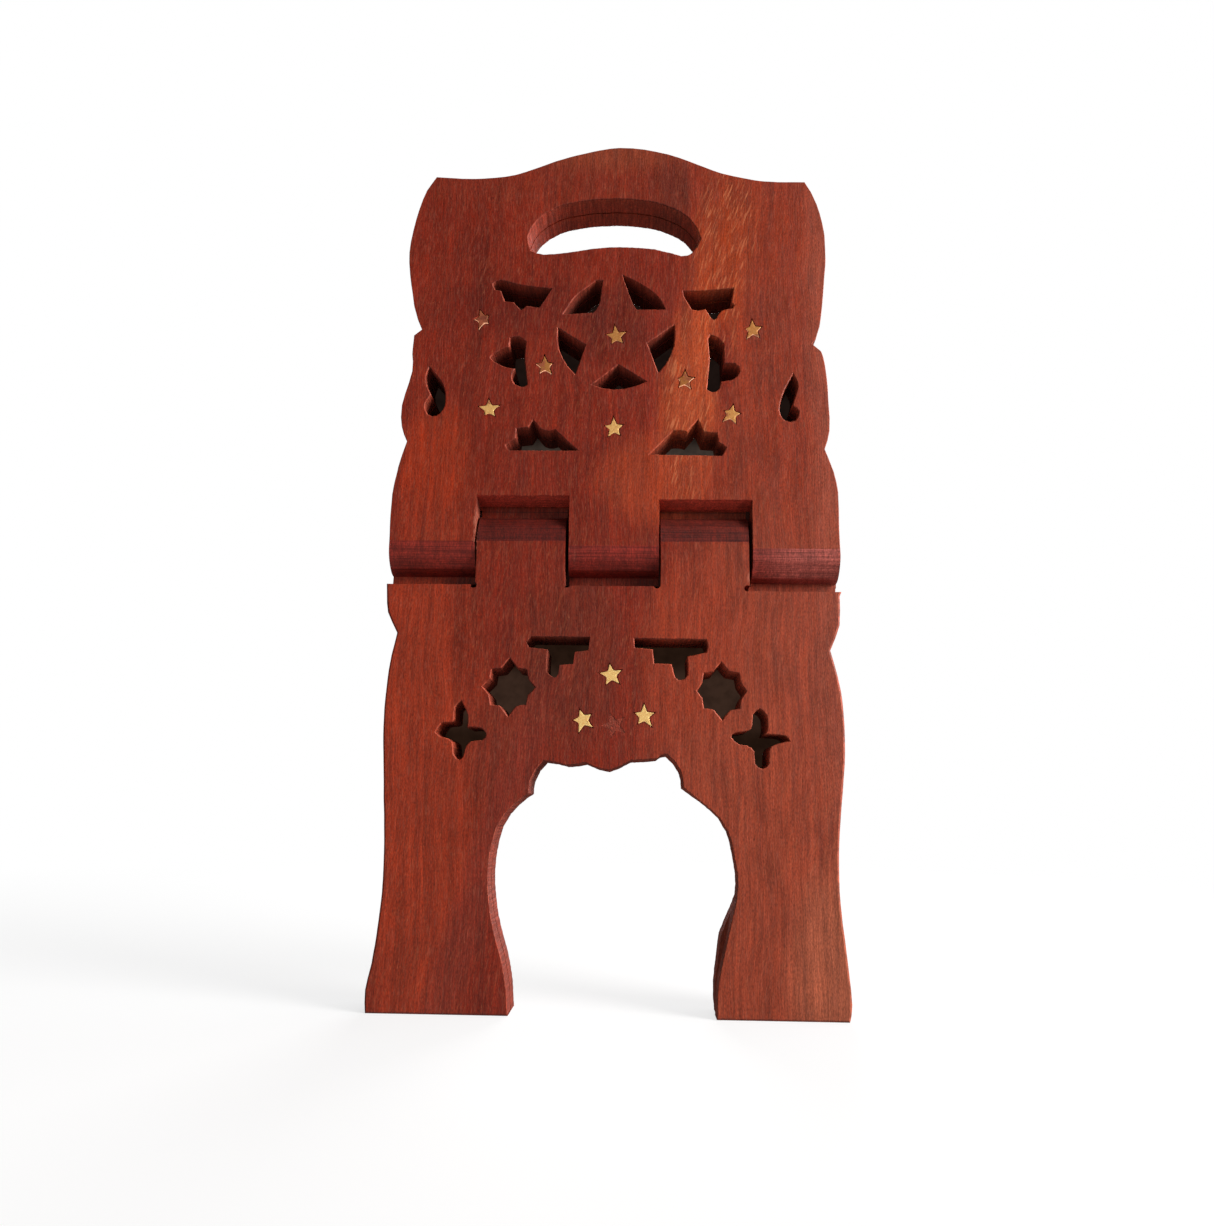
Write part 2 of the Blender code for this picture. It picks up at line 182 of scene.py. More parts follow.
def soften_rims(mesh, sawn, offset):
    """Wears the rims, one outline at a time so that a tight spot in one doesn't hold back the rest."""
    for _ in range(MOST_OUTLINES):
        rims = sharp_rims(mesh, sawn)
        if not rims:
            break
        wanted = set(rims)
        outline = {rims[0]: True}
        waiting = [rims[0]]
        while waiting:
            for vert in waiting.pop().verts:
                for edge in vert.link_edges:
                    if edge in wanted and edge not in outline:
                        outline[edge] = True
                        waiting.append(edge)
        bmesh.ops.bevel(
            mesh,
            geom=list(outline),
            offset=offset,
            segments=2,
            profile=0.5,
            affect="EDGES",
            material=WORN,
            clamp_overlap=True,
        )


def open_planes(mesh):
    """Takes the broad faces away, to be filled again when their outlines are final."""
    broad = [face for face in mesh.faces if face.material_index != WORN and is_broad(face)]
    bmesh.ops.delete(mesh, geom=broad, context="FACES")


def inner_triangles(triangles, outline_pairs):
    """The triangles inside an outline with holes: crossing the outline goes in or out."""
    walls = {frozenset(pair) for pair in outline_pairs}
    beside = {}
    for index, triangle in enumerate(triangles):
        for first, last in zip(triangle, triangle[1:] + triangle[:1]):
            beside.setdefault(frozenset((first, last)), []).append(index)
    inside = {}
    waiting = []
    for pair, found in beside.items():
        if len(found) == 1:
            waiting.append((found[0], pair in walls))
    while waiting:
        index, state = waiting.pop()
        if index in inside:
            continue
        inside[index] = state
        triangle = triangles[index]
        for first, last in zip(triangle, triangle[1:] + triangle[:1]):
            pair = frozenset((first, last))
            for other in beside[pair]:
                if other not in inside:
                    waiting.append((other, state != (pair in walls)))
    return [triangle for index, triangle in enumerate(triangles) if inside[index]]


def close_planes(mesh):
    """Fills the outlines on each level with flat triangles."""
    for level in LEVELS:
        edges = []
        for edge in mesh.edges:
            if edge.is_boundary and all(on_plane(vert, level) for vert in edge.verts):
                edges.append(edge)
        verts = list({vert: None for edge in edges for vert in edge.verts})
        place = {vert: index for index, vert in enumerate(verts)}
        points = [Vector((vert.co.x, vert.co.z)) / MM for vert in verts]
        pairs = [(place[edge.verts[0]], place[edge.verts[1]]) for edge in edges]
        filled = geometry.delaunay_2d_cdt(points, pairs, [], 0, 1e-6)
        came_from = [origin[0] for origin in filled[3]]
        triangles = [tuple(came_from[index] for index in triangle) for triangle in filled[2]]
        for triangle in inner_triangles(triangles, pairs):
            made = mesh.faces.new([verts[index] for index in triangle])
            made.material_index = PLANED
    bmesh.ops.recalc_face_normals(mesh, faces=mesh.faces)


def refine_outlines(mesh, longest):
    """Halves the edges that follow an outline until they are short enough to carry saw marks."""
    for _ in range(6):
        long_edges = []
        for edge in mesh.edges:
            along = edge.verts[1].co - edge.verts[0].co
            if along.length < longest or abs(along.y) > 0.3 * along.length:
                continue
            if any(is_wall(face) or face.material_index == WORN for face in edge.link_faces):
                long_edges.append(edge)
        if not long_edges:
            break
        bmesh.ops.subdivide_edges(mesh, edges=long_edges, cuts=1, use_grid_fill=True)


def facet(y, z, rounding, cuts):
    """A point of the rounded knuckle, moved onto the flat that a hand plane left between two cuts."""
    flat, reach = [value * MM for value in rounding]
    rise = reach - flat
    angle = math.atan2(max(0.0, abs(z) - flat) / rise, abs(y) / HALF_THICK)
    for first, last in zip(cuts, cuts[1:]):
        if first <= angle <= last:
            share = (angle - first) / (last - first)
            flat_y = (1 - share) * math.cos(first) + share * math.cos(last)
            flat_z = (1 - share) * math.sin(first) + share * math.sin(last)
            return math.copysign(flat_y * HALF_THICK, y), math.copysign(flat + flat_z * rise, z)
    return y, z


def shape_knuckles(mesh, name):
    """Splits the knuckles finely and gives them flats and shallow rasp marks."""
    for face in mesh.faces:
        if face.material_index != WORN and is_knuckle(face):
            face.material_index = KNUCKLE
    for lengthwise, cuts in ((False, 3), (True, 19)):
        edges = {}
        for face in mesh.faces:
            if face.material_index == KNUCKLE:
                edges.update(dict.fromkeys(face.edges))
        chosen = [e for e in edges if (abs(e.verts[0].co.x - e.verts[1].co.x) > 10 * MM) == lengthwise]
        bmesh.ops.subdivide_edges(mesh, edges=chosen, cuts=cuts, use_grid_fill=True)
    for vert in mesh.verts:
        inner = not vert.is_boundary and all(face.material_index == KNUCKLE for face in vert.link_faces)
        if not inner:
            continue
        x, y, z = vert.co.x, vert.co.y, vert.co.z - AXIS_Z
        finger = round(x / FINGER_PITCH)
        turn = 0.09 * math.sin(5.3 * finger + (1.7 if z > 0 else 0.4))
        cuts = (0.0, 0.20 + turn, 0.52 + turn, 1.04 - turn, math.pi / 2)
        column = 0 if x < -40 * MM else 1 if x < 40 * MM else 2
        flat_y, flat_z = facet(y, z, ROUNDING[name][column], cuts)
        marks = noise.noise(Vector((x * 30, y * 1100, z * 1100)))
        hollow = noise.noise(Vector((x * 70, y * 170, z * 170)))
        out = Vector((0, y, z)).normalized() * (0.05 * marks + 0.10 * hollow - 0.08) * MM
        vert.co.y = 0.15 * y + 0.85 * flat_y + out.y
        vert.co.z = AXIS_Z + 0.15 * z + 0.85 * flat_z + out.z


def jitter(mesh):
    """The wander of a hand saw: a slow drift everywhere, fine ridges in the fretwork and torn window rims."""
    # Without a seed, noise_vector takes its offset from the clock.
    noise.seed_set(DRIFT_SEED)
    for vert in mesh.verts:
        x, z = vert.co.x, vert.co.z
        if z < 0.5 * MM:
            continue
        if not any(is_wall(face) or face.material_index == WORN for face in vert.link_faces):
            continue
        if at_saw_start(vert.co, 2.6 * MM):
            continue
        slow = noise.noise_vector(Vector((x * 130, z * 130, 3.7)))
        shift = slow * SLOW_DRIFT
        if in_openings(vert.co):
            fine = noise.noise_vector(Vector((x * 900, z * 900, 9.1)))
            shift += fine * FINE_DRIFT
        vert.co.x += shift.x
        vert.co.z += shift.y
        outer = abs(vert.co.y) > HALF_THICK - 0.5 * MM
        near_top = max(0.0, 1.0 - abs(z - WINDOW_TOP) / (1.9 * MM))
        if outer and near_top > 0:
            tear = max(0.0, noise.noise(Vector((x * 1400, z * 200, 4.3))) + 0.1)
            vert.co.z -= tear * near_top * TOP_TEAR
        near_side = max(0.0, 1.0 - abs(z - TORN_SIDE_Z) / (11 * MM))
        if outer and near_side > 0 and abs(x - TORN_SIDE) < 0.9 * MM:
            tear = max(0.0, noise.noise(Vector((x * 200, z * 700, 8.9))) + 0.2)
            vert.co.x -= tear * near_side * SIDE_TEAR


def carve_leaf(name, materials):
    """A finished copy of a CAD leaf: worn edges, saw marks and hand-planed knuckles."""
    node = frame["nodes"][name]
    mesh = bmesh.new()
    mesh.from_mesh(node.data)
    bmesh.ops.remove_doubles(mesh, verts=mesh.verts, dist=1e-6)
    bmesh.ops.dissolve_limit(mesh, angle_limit=math.radians(0.6), verts=mesh.verts, edges=mesh.edges)
    for face in mesh.faces:
        face.material_index = PLANED
    soften_rims(mesh, False, OUTER_WEAR)
    soften_rims(mesh, True, FRETWORK_WEAR)
    open_planes(mesh)
    shape_knuckles(mesh, name)
    refine_outlines(mesh, RIM_STEP)
    for face in mesh.faces:
        if face.material_index == PLANED:
            face.material_index = GLUE if is_seat(face) else KNUCKLE if is_window_end(face) else SAWN
    jitter(mesh)
    close_planes(mesh)
    data = bpy.data.meshes.new(name + "_carved")
    mesh.to_mesh(data)
    mesh.free()
    for material in materials:
        data.materials.append(material)
    data.set_sharp_from_angle(angle=SMOOTH_ANGLE)
    data.polygons.foreach_set("use_smooth", [face.material_index != PLANED for face in data.polygons])
    piece = bpy.data.objects.new(name + "_carved", data)
    bpy.context.scene.collection.objects.link(piece)
    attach(piece, name)
    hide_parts(name)
    return piece


# Materials


class Net:
    """A short way to write a node material."""

    def __init__(self, name):
        self.material = bpy.data.materials.new(name)
        self.material.use_nodes = True
        self.tree = self.material.node_tree
        self.tree.nodes.clear()
        self.output = self.tree.nodes.new("ShaderNodeOutputMaterial")

    def node(self, kind, links=None, **settings):
        made = self.tree.nodes.new("ShaderNode" + kind)
        for key, value in settings.items():
            setattr(made, key, value)
        for key, value in (links or {}).items():
            self.feed(made.inputs[key], value)
        return made

    def feed(self, socket, value):
        if isinstance(value, bpy.types.NodeSocket):
            self.tree.links.new(value, socket)
        elif isinstance(value, tuple) and len(value) == 3 and socket.type == "RGBA":
            socket.default_value = (*value, 1.0)
        else:
            socket.default_value = value

    def math(self, operation, first, second=0.0, third=0.0):
        links = {0: first, 1: second, 2: third}
        return self.node("Math", links, operation=operation).outputs[0]

    def position(self):
        return self.node("TexCoord").outputs["Object"]

    def combine(self, x, y, z):
        return self.node("CombineXYZ", {0: x, 1: y, 2: z}).outputs[0]

    def noise(self, vector, scale, detail=2.0, rough=0.5):
        links = {"Vector": vector, "Scale": scale, "Detail": detail, "Roughness": rough}
        return self.node("TexNoise", links).outputs["Fac"]

    def ramp(self, value, low, high, bottom=0.0, top=1.0):
        links = {"Value": value, "From Min": low, "From Max": high, "To Min": bottom, "To Max": top}
        return self.node("MapRange", links, interpolation_type="SMOOTHSTEP").outputs["Result"]

    def mix(self, share, first, second, blend="MIX"):
        made = self.node("Mix", data_type="RGBA", blend_type=blend)
        self.feed(made.inputs[0], share)
        self.feed(made.inputs[6], first)
        self.feed(made.inputs[7], second)
        return made.outputs[2]

    def bump(self, height, strength, distance, normal=None):
        links = {"Height": height, "Strength": strength, "Distance": distance}
        if normal is not None:
            links["Normal"] = normal
        return self.node("Bump", links).outputs[0]

    def finish(self, shader):
        self.tree.links.new(shader, self.output.inputs["Surface"])
        return self.material


def srgb(red, green, blue):
    """Display values from 0 to 255 as linear light."""
    linear = []
    for value in (red, green, blue):
        share = value / 255
        linear.append(share / 12.92 if share <= 0.04045 else ((share + 0.055) / 1.055) ** 2.4)
    return tuple(linear)


# Soft regions of colour: stain and heartwood, painted sheen that lightens the right side and the right foot,
# and darker patches in the upper fretwork. Centre x and z, half-widths, lean, strength and colour.
WOOD_REGIONS = (
    (66, 250, 38, 400, 0.0, 0.9, srgb(143, 50, 22)),
    (-72, 85, 24, 120, 0.0, 0.95, srgb(160, 55, 26)),
    (62, 70, 50, 120, 0.0, 0.95, srgb(157, 68, 44)),
    (92, 170, 13, 400, 0.0, 0.8, srgb(152, 72, 52)),
    (46, 306, 13, 58, 0.1, 0.9, srgb(160, 60, 20)),
    (31, 238, 13, 46, 0.08, 0.95, srgb(176, 74, 34)),
    (-2, 338, 90, 12, 0.0, 0.5, srgb(134, 47, 26)),
    (0, 358, 42, 14, 0.0, 0.8, srgb(140, 64, 40)),
    (24, 334, 9, 18, 0.0, 0.8, srgb(104, 35, 19)),
    (-42, 281, 30, 14, 0.0, 0.7, srgb(108, 23, 5)),
    (0, 272, 17, 19, 0.0, 0.8, srgb(100, 25, 8)),
    (-72, 212, 17, 26, 0.0, 0.9, srgb(160, 50, 15)),
    (16, 204, 22, 20, 0.0, 0.8, srgb(166, 64, 30)),
    (46, 253, 4, 20, 0.0, 0.8, srgb(132, 33, 6)),
    (-57, 146, 7, 36, 0.0, 0.7, srgb(128, 37, 12)),
    (-18, 130, 22, 36, 0.0, 0.9, srgb(117, 40, 22)),
    (30, 136, 21, 34, 0.0, 0.85, srgb(160, 60, 32)),
    (-42, 98, 14, 24, 0.0, 0.85, srgb(130, 45, 26)),
    (-45, 55, 9, 78, 0.33, 0.8, srgb(134, 47, 32)),
    (84, 14, 18, 40, 0.0, 0.8, srgb(176, 98, 72)),
    (-58, 300, 4, 42, 0.0, 0.5, srgb(102, 26, 9)),
)
ORANGE_ROWS = (4, 5)
# Torn fibres beside the windows and a scratch: centre x and z, half-widths, lean and strength.
CHIPS = (
    (-55.2, 182, 1.0, 11, 0.0, 0.5),
    (54.4, 163.5, 1.5, 2.6, 0.1, 0.6),
    (-15.2, 172.0, 0.5, 4.5, 0.05, 0.7),
)
BASE_RED = srgb(130, 36, 14)
STAIN_TINT = (0.78, 0.68, 0.59)
PALE_FIBRE = srgb(215, 128, 84)
PALE_PINK = srgb(196, 118, 96)
PURPLE_BROWN = srgb(84, 22, 16)
WORN_HIGHLIGHT_PINK = srgb(206, 108, 82)
# The pink of the painted highlight on the worn rims.
RASPED_RED = srgb(124, 34, 25)
RASPED_PINK = srgb(158, 76, 67)
RASPED_SHADE = srgb(78, 13, 6)
RASPED_END = srgb(176, 56, 41)
# The height of a thin dark line on the inner faces: painted corner shade and dirt.
CORNER_DIRT_AND_SHADE_Z = 193.3 * MM


def region_mask(net, x, z, place):
    """A soft ellipse around a centre, leaning with height."""
    centre_x, centre_z, wide, tall, lean, strength = place
    up = net.math("SUBTRACT", z, centre_z * MM)
    side = net.math("SUBTRACT", x, centre_x * MM)
    side = net.math("SUBTRACT", side, net.math("MULTIPLY", up, lean))
    across = net.math("DIVIDE", side, wide * MM)
    along = net.math("DIVIDE", up, tall * MM)
    reach = net.math("ADD", net.math("MULTIPLY", across, across), net.math("MULTIPLY", along, along))
    return net.ramp(reach, 1.6, 0.1, 0.0, strength)


def stretched(net, parts, sizes):
    """A vector whose noise cells have these sizes in millimetres along x, y and z."""
    scaled = [net.math("DIVIDE", part, size * MM) for part, size in zip(parts, sizes)]
    return net.combine(*scaled)


def wood(name, gloss, marks):
    """Red-stained hardwood, with some light and shade painted in. Gloss is its mean roughness, and marks is
    planed, sawn, rasped or worn.
    """
    net = Net(name)
    split = net.node("SeparateXYZ", {0: net.position()})
    x, y, z = split.outputs[0], split.outputs[1], split.outputs[2]
    drift = net.noise(stretched(net, (x, y, z), (80, 80, 110)), 1.0, 2.0)
    drift = net.math("MULTIPLY", net.math("SUBTRACT", drift, 0.5), 9 * MM)
    wave = net.noise(stretched(net, (x, y, z), (16, 30, 34)), 1.0, 1.0)
    wave = net.math("MULTIPLY", net.math("SUBTRACT", wave, 0.5), 4 * MM)
    grain_x = net.math("ADD", net.math("ADD", x, drift), wave)

    def grain(wide, tall, detail=3.0, rough=0.55, lean=0.0):
        sheared = net.math("SUBTRACT", grain_x, net.math("MULTIPLY", z, lean))
        return net.noise(stretched(net, (sheared, y, z), (wide, 2 * wide, tall)), 1.0, detail, rough)

    def scale(colour, factor):
        return net.mix(1.0, colour, net.combine(factor, factor, factor), "MULTIPLY")

    colour = BASE_RED
    orange = 0.0
    for index, row in enumerate(WOOD_REGIONS):
        mask = region_mask(net, grain_x, z, row[:6])
        colour = net.mix(mask, colour, row[6])
        if index in ORANGE_ROWS:
            orange = net.math("MAXIMUM", orange, mask)
    clouds = net.ramp(grain(6.0, 15.0, 2.0), 0.3, 0.7, 0.89, 1.11)
    bands = net.ramp(grain(4.0, 130.0), 0.3, 0.7, 0.88, 1.12)
    streaks = net.ramp(grain(1.3, 50.0, 2.0), 0.3, 0.7, 0.85, 1.15)
    fibres = net.ramp(grain(0.50, 20.0, 3.0, 0.6), 0.3, 0.7, 0.80, 1.18)
    threads = net.ramp(grain(0.36, 1.1, 1.0, 0.5), 0.25, 0.75, 0.70, 1.25)
    pores = net.ramp(grain(0.36, 2.6, 1.0, 0.5), 0.62, 0.74, 1.0, 0.66)
    value = clouds
    for factor in (bands, streaks, fibres, threads, pores):
        value = net.math("MULTIPLY", value, factor)
    colour = net.mix(1.0, scale(colour, value), STAIN_TINT, "MULTIPLY")
    purple = net.ramp(grain(2.8, 60.0, 2.0, 0.5, 0.03), 0.58, 0.72, 0.0, 0.30)
    colour = net.mix(purple, colour, PURPLE_BROWN)
    sheen = net.ramp(grain(0.45, 5.0, 3.0, 0.65), 0.46, 0.72, 0.0, 0.15)
    colour = net.mix(sheen, colour, PALE_PINK)
    figure = net.ramp(grain(0.8, 8.0, 3.0, 0.6, 0.30), 0.52, 0.70)
    figure = net.math("MULTIPLY", figure, net.ramp(orange, 0.0, 0.9, 0.06, 0.42))
    colour = net.mix(figure, colour, PALE_FIBRE)
    ticks = net.ramp(grain(0.34, 2.4, 1.0, 0.5, 0.10), 0.68, 0.78, 0.0, 0.20)
    colour = net.mix(ticks, colour, PALE_FIBRE)
    for row in CHIPS:
        torn = net.math("MULTIPLY", region_mask(net, x, z, row), net.ramp(grain(0.4, 2.2, 2.0), 0.42, 0.56))
        colour = net.mix(torn, colour, PALE_PINK)
    if marks == "planed":
        # Painted shade and dirt: a thin dark line across the inner faces, in the corner above the knuckles.
        height = net.math("ABSOLUTE", net.math("SUBTRACT", z, CORNER_DIRT_AND_SHADE_Z))
        inside = net.math("LESS_THAN", net.math("ABSOLUTE", y), 1 * MM)
        corner_dirt_and_shade = net.math("MULTIPLY", net.ramp(height, 0.22 * MM, 0.08 * MM, 0.0, 0.8), inside)
        colour = net.mix(corner_dirt_and_shade, colour, srgb(60, 16, 12))
    rough = net.ramp(grain(3.0, 20.0), 0.3, 0.7, gloss - 0.05, gloss + 0.08)
    normal = net.bump(grain(0.5, 5.0, 3.0, 0.65), 0.5, 0.14 * MM)
    if marks == "sawn":
        # Painted shade: the fretwork walls grow darker toward the middle of the plank, deep in the openings.
        deep_shade = net.ramp(net.math("ABSOLUTE", y), 8 * MM, 1 * MM, 0.0, 0.38)
        within = net.math("LESS_THAN", net.math("ABSOLUTE", x), FRETWORK_HALF_WIDE)
        outer = net.math("SUBTRACT", 1.0, within)
        pierced = net.ramp(net.math("ABSOLUTE", net.math("SUBTRACT", z, 250 * MM)), 52 * MM, 46 * MM)
        deep_shade = net.math("MULTIPLY", deep_shade, net.math("MULTIPLY", within, pierced))
        colour = scale(colour, net.math("SUBTRACT", 1.0, deep_shade))
        # Painted light: the sawn walls are a little lighter everywhere and much lighter at the handle, above
        # 296 mm.
        colour = scale(colour, net.ramp(z, 296 * MM, 304 * MM, 1.06, 1.42))
        colour = net.mix(0.10, colour, PALE_PINK)
        ridge = net.noise(stretched(net, (x, y, z), (0.6, 14, 0.6)), 1.0, 2.0)
        normal = net.bump(ridge, net.math("MULTIPLY_ADD", outer, -0.65, 0.9), 0.30 * MM, normal)
        saw_marks = net.math("SUBTRACT", net.ramp(ridge, 0.3, 0.7, 0.70, 1.22), 1.0)
        saw_marks = net.math("MULTIPLY", saw_marks, net.math("MULTIPLY_ADD", outer, -0.7, 1.0))
        colour = scale(colour, net.math("ADD", saw_marks, 1.0))
        colour = scale(colour, net.math("MULTIPLY_ADD", outer, -0.38, 1.0))
    if marks == "rasped":
        # Painted light: the knuckles grow lighter and pinker toward the right side.
        right = net.ramp(x, 50 * MM, 75 * MM)
        # Painted shadow: the upper half of each knuckle, under the window, is darker.
        above = net.ramp(z, AXIS_Z - 0.5 * MM, AXIS_Z + 0.5 * MM)
        # Painted light: the down-facing chiselled window tops are a lighter red.
        end = net.ramp(z, AXIS_Z + 14.2 * MM, AXIS_Z + 15.2 * MM)
        rasped = net.mix(right, RASPED_RED, RASPED_PINK)
        rasped = net.mix(end, net.mix(above, rasped, RASPED_SHADE), RASPED_END)
        colour = net.mix(0.85, colour, scale(rasped, value))
        lines = net.noise(stretched(net, (x, y, z), (34, 0.5, 0.5)), 1.0, 3.0, 0.6)
        normal = net.bump(lines, 1.0, 0.35 * MM, normal)
        # The rasp lines are real marks; their light and dark streaks are partly painted light and shade.
        colour = scale(colour, net.ramp(lines, 0.3, 0.7, 0.66, 1.30))
    if marks == "worn":
        # Painted light and shade on the worn rims: those facing right and up, toward the key light, are
        # lighter and pinker, the others darker, patchy with the grain.
        side = net.node("SeparateXYZ", {0: net.node("TexCoord").outputs["Normal"]})
        upward = net.math("MULTIPLY", side.outputs[2], 0.35)
        lit = net.ramp(net.math("ADD", side.outputs[0], upward), -0.2, 0.6)
        rim_wear_and_light = net.math("MULTIPLY", lit, net.ramp(grain(1.6, 3.0, 2.0), 0.36, 0.60, 0.35, 1.0))
        colour = scale(colour, net.ramp(rim_wear_and_light, 0.0, 1.0, 0.72, 1.45))
        colour = net.mix(net.ramp(rim_wear_and_light, 0.0, 1.0, 0.0, 0.34), colour, WORN_HIGHLIGHT_PINK)
    settings = {"Base Color": colour, "Roughness": rough, "Normal": normal, "Specular IOR Level": 0.24}
    return net.finish(net.node("BsdfPrincipled", settings).outputs[0])


def glue():
    """The resin that the inlays are set in, made lighter than the wood: painted light that makes up for the
    shade in its narrow groove.
    """
    net = Net("glue")
    lumps = net.noise(net.position(), 900.0, 3.0, 0.6)
    colour = net.mix(net.ramp(lumps, 0.3, 0.7), srgb(146, 50, 34), srgb(180, 78, 54))
    normal = net.bump(lumps, 0.7, 0.12 * MM)
    settings = {"Base Color": colour, "Roughness": 0.6, "Normal": normal, "Specular IOR Level": 0.3}
    return net.finish(net.node("BsdfPrincipled", settings).outputs[0])


def brass(name, dark, light, rub, glint):
    """Filed brass with fine scratches, partly under a smear of wood stain that is rubbed off its edges. Where
    glint is set, its lower edges glow with a painted glint.
    """
    net = Net(name)
    position = net.position()
    split = net.node("SeparateXYZ", {0: position})
    x, y, z = split.outputs[0], split.outputs[1], split.outputs[2]

    def setting(key):
        return net.node("Attribute", attribute_type="OBJECT", attribute_name=key).outputs["Fac"]

    lean_x = net.math("MULTIPLY", net.math("SUBTRACT", x, setting("middle_x")), setting("cover_x"))
    lean_z = net.math("MULTIPLY", net.math("SUBTRACT", z, setting("middle_z")), setting("cover_z"))
    lean = net.math("ADD", lean_x, lean_z)
    patches = net.noise(position, 420.0, 3.0, 0.6)
    smear = net.math("ADD", net.math("ADD", patches, lean), setting("cover"))
    cover = net.math("MULTIPLY", net.ramp(smear, 0.95, 1.12), rub)
    scratch = net.noise(stretched(net, (x, y, z), (1.1, 1.1, 0.19)), 1.0, 3.0, 0.7)
    dirt = net.noise(position, 700.0, 3.0, 0.6)
    metal = net.mix(net.ramp(scratch, 0.3, 0.7), dark, light)
    metal = net.mix(net.ramp(dirt, 0.56, 0.72, 0.0, 0.45), metal, srgb(120, 72, 40))
    shine = setting("shine")
    dull = net.combine(shine, net.math("POWER", shine, 1.7), net.math("POWER", shine, 2.2))
    metal = net.mix(1.0, metal, dull, "MULTIPLY")
    stain = net.mix(net.ramp(patches, 0.3, 0.7), srgb(104, 36, 22), srgb(146, 70, 44))
    # Painted glint: faces turned downward take a pale colour and glow.
    facing = net.node("SeparateXYZ", {0: net.node("NewGeometry").outputs["Normal"]}).outputs[2]
    under = net.ramp(net.math("MULTIPLY", facing, -1.0), 0.15, 0.5)
    edge = net.math("MULTIPLY", net.math("MULTIPLY", under, setting("glint")), glint)
    colour = net.mix(edge, net.mix(cover, metal, stain), GLINT)
    settings = {
        "Base Color": colour,
        "Metallic": net.ramp(cover, 0.0, 1.0, 0.55, 0.05),
        "Roughness": net.ramp(scratch, 0.2, 0.8, 0.38, 0.55),
        "Normal": net.bump(net.math("ADD", scratch, dirt), 0.35, 0.06 * MM),
        "Emission Color": GLINT,
        "Emission Strength": net.math("MULTIPLY", edge, 0.8),
    }
    return net.finish(net.node("BsdfPrincipled", settings).outputs[0])


# How far the stain covers an inlay, and how much more per millimetre to its right and upward.
STAIN = {
    "front_star_1": (0.90, 0.02, 0.02),
    "front_star_3": (0.42, -0.10, 0.0),
    "front_star_4": (0.36, 0.05, -0.06),
    "front_star_5": (0.55, 0.03, 0.0),
    "front_star_6": (0.34, 0.0, 0.09),
    "front_star_7": (0.34, 0.0, 0.08),
    "front_star_8": (0.36, -0.07, -0.02),
}
LIGHT_STAIN = (0.30, 0.02, 0.04)
# How bright the brass itself is, where the stain has dulled it, and how strongly its lower edges glow with a
# painted glint.
SHINE = {
    "front_star_1": (0.5, 0.9),
    "front_star_2": (0.62, 0.15),
    "front_star_3": (0.55, 1.0),
    "front_star_4": (0.6, 0.5),
    "front_star_5": (0.48, 1.0),
    "front_star_6": (0.97, 0.1),
    "front_star_7": (0.93, 0.1),
    "front_star_8": (0.7, 0.4),
}
GLINT = srgb(250, 190, 150)


def dress_stars():
    body = brass("brass", srgb(236, 162, 84), srgb(255, 216, 138), 0.92, 0.0)
    rim = brass("brass_rim", srgb(236, 168, 90), srgb(255, 222, 146), 0.7, 1.0)
    for name, node in frame["nodes"].items():
        if "star" not in name:
            continue
        node.data.materials.clear()
        node.data.materials.append(body)
        node.data.materials.append(rim)
        low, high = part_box(name)
        cover, cover_x, cover_z = STAIN.get(name, LIGHT_STAIN)
        node["shine"], node["glint"] = SHINE.get(name, (1.12, 0.15))
        node["cover"] = cover
        node["cover_x"] = cover_x / MM
        node["cover_z"] = cover_z / MM
        node["middle_x"] = (low[0] + high[0]) / 2
        node["middle_z"] = (low[2] + high[2]) / 2
        weld = node.modifiers.new("weld", "WELD")
        weld.merge_threshold = 0.001 * MM
        bevel = node.modifiers.new("bevel", "BEVEL")
        bevel.width = 0.38 * MM
        bevel.segments = 2
        bevel.material = 1
        bevel.limit_method = "ANGLE"


# Stage

# The outlines of the dark cards of painted shade in millimetres along x and z, which keep clear of the handle
# and the arch.
CARD_UPPER = ((-80, 208), (80, 208), (80, 298), (-80, 298))
CARD_HINGE_UPPER = ((-86, 177.4), (86, 177.4), (86, 206), (-86, 206))
CARD_HINGE_LOWER = ((-86, 152), (86, 152), (86, 178.6), (-86, 178.6))
CARD_LOWER = ((-78, 84), (-42, 84), (-42, 99), (38, 99), (38, 84), (78, 84), (78, 150), (-78, 150))


def area_light(name, place, target, size, power, colour=(1, 1, 1)):
    data = bpy.data.lights.new(name, "AREA")
    data.shape = "DISK"
    data.size = size
    data.energy = power
    data.color = colour
    lamp = bpy.data.objects.new(name, data)
    bpy.context.scene.collection.objects.link(lamp)
    lamp.location = place
    lamp.rotation_euler = (Vector(target) - Vector(place)).to_track_quat("-Z", "Y").to_euler()


